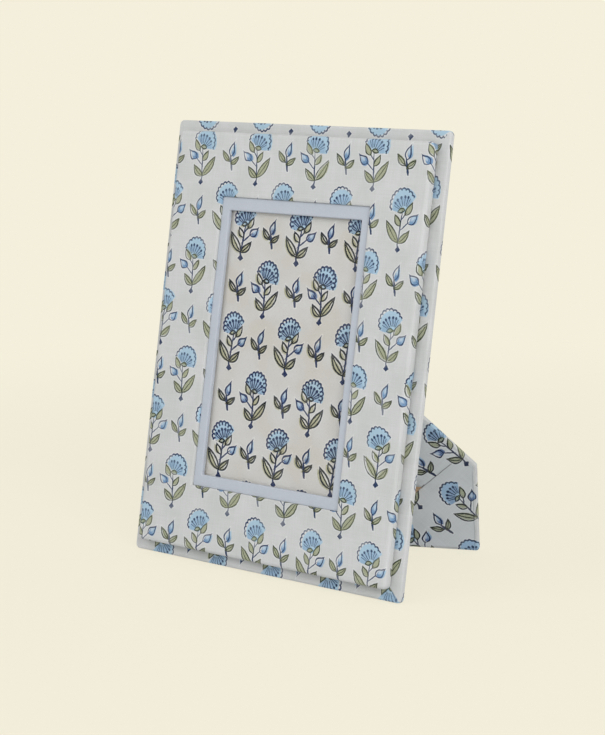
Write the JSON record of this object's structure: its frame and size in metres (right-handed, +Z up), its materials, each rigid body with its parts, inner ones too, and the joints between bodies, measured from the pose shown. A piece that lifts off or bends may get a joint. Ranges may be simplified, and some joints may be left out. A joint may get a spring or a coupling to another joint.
{
  "type": "picture frame",
  "caption": "Free-standing picture frame covered in printed cotton, with a plain mat in its window, a slide-in picture pocket and a diagonal folding strut for standing upright or sideways",
  "frame": {"origin": "on the table, under the middle of the whole object's box", "axes": "X to the right as seen from the front, Y towards the back, Z up; the panel leans back by 11.2 degrees"},
  "size_m": [0.184, 0.1148, 0.2397],
  "materials": {
    "printed_cotton": "plain-weave cotton, off-white, block-printed with pale blue flowers and olive leaves",
    "grey_card": "stiff grey card",
    "lavender_mat": "matt pale lavender",
    "clear_sheet": "clear, glossy",
    "printed_card": "cream printed card",
    "brown_card": "plain brown card",
    "tan_ribbon": "woven tan ribbon"
  },
  "bodies": {
    "frame": {"back_board": "grey_card", "back_cover": "printed_cotton", "front_board": "grey_card", "front_cover": "printed_cotton", "slip_mat": "lavender_mat", "spacer_left": "grey_card", "spacer_right": "grey_card", "spacer_bottom": "grey_card", "glazing": "clear_sheet", "hinge_leaf_frame": "printed_cotton", "stay_ribbon": "tan_ribbon"},
    "strut": {"strut_board": "grey_card", "strut_cover": "printed_cotton", "strut_lining": "printed_cotton", "hinge_leaf_strut": "printed_cotton"},
    "picture": {"picture_print": "printed_card", "backing_card": "brown_card"}
  },
  "joints": [
    {"name": "strut_hinge", "type": "hinge", "parent": "frame", "child": "strut", "pos_m": [-0.04589, -0.02274, 0.12981], "axis": [0.6947, 0.1397, 0.7056], "range_deg": [-31.81, 0], "deforming": ["stay_ribbon"]},
    {"name": "picture_slide", "type": "slide", "parent": "frame", "child": "picture", "axis": [0, 0.1942, 0.981], "range_m": [0, 0.195]}
  ]
}
